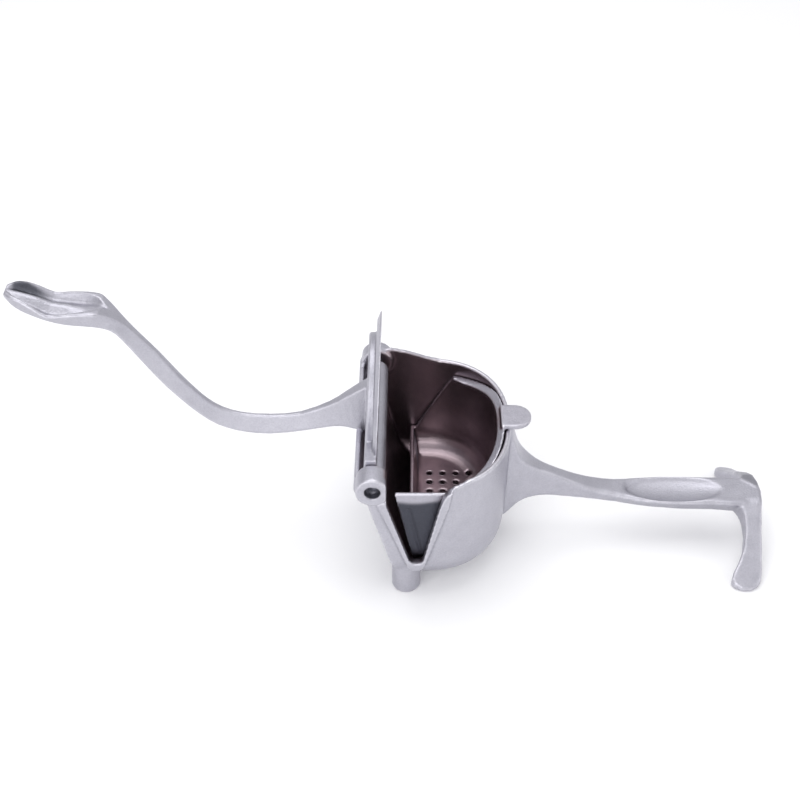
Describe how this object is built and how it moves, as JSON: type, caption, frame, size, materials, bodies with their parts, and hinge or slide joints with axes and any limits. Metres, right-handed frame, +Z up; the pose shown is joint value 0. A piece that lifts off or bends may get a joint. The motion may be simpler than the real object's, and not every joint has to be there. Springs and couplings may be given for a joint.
{
  "type": "citrus press juicer",
  "caption": "Hand citrus press: cast bowl on feet with a V pouring spout, lift-out strainer basket and a long hinged press lever.",
  "frame": {"origin": "on the table surface, at the centre of the bounding box of the open press", "axes": "+X from the lever grip towards the lower handle, +Y along the hinge pin away from the spout, +Z up"},
  "size_m": [0.4512, 0.131, 0.1849],
  "materials": {
    "body_casting": "tumbled matte casting",
    "basket_casting": "satin casting, polished inside",
    "lever_casting": "tumbled matte casting",
    "pin_steel": "ground steel rod"
  },
  "bodies": {
    "body": {"press_body": "body_casting", "hinge_pin": "pin_steel"},
    "lever": {"press_lever": "lever_casting"},
    "basket": {"strainer_basket": "basket_casting"}
  },
  "joints": [
    {"name": "lever_hinge", "type": "hinge", "parent": "body", "child": "lever", "pos_m": [-0.0174, 0, 0.09], "axis": [0, 1, 0], "range_deg": [0, 150]},
    {"name": "basket_lift", "type": "slide", "parent": "body", "child": "basket", "axis": [0, 0, 1], "range_m": [0, 0.15]}
  ]
}
